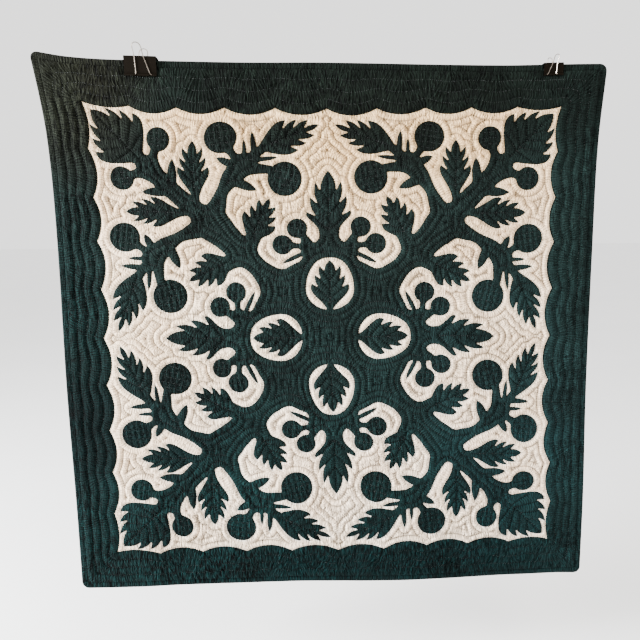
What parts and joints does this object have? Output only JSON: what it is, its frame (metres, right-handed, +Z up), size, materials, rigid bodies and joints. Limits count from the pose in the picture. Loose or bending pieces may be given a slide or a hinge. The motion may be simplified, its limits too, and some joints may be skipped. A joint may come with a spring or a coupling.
{
  "type": "quilted wall hanging on spring clips",
  "caption": "Square appliqué quilt, dark green leaves, fruit and scalloped border on cream, hung from spring clips on its top edge.",
  "frame": {"origin": "middle of the hung top edge, halfway through the quilt's thickness", "axes": "+Z up, the quilt's front towards -Y, +X to the right as seen from the front"},
  "size_m": [0.9334, 0.0394, 0.9308],
  "materials": {
    "cream_cotton": "quilted warm cream cotton",
    "green_cotton": "quilted very dark green cotton",
    "black_steel": "black enamel on spring steel",
    "plated_wire": "bright nickel plate on wire"
  },
  "bodies": {
    "root": {"quilt_ground": "cream_cotton", "border_applique": "green_cotton", "motif_applique": "green_cotton", "binding": "green_cotton", "left_clip_body": "black_steel", "left_clip_front_handle": "plated_wire", "left_clip_back_handle": "plated_wire", "right_clip_body": "black_steel", "right_clip_front_handle": "plated_wire", "right_clip_back_handle": "plated_wire"}
  },
  "joints": []
}
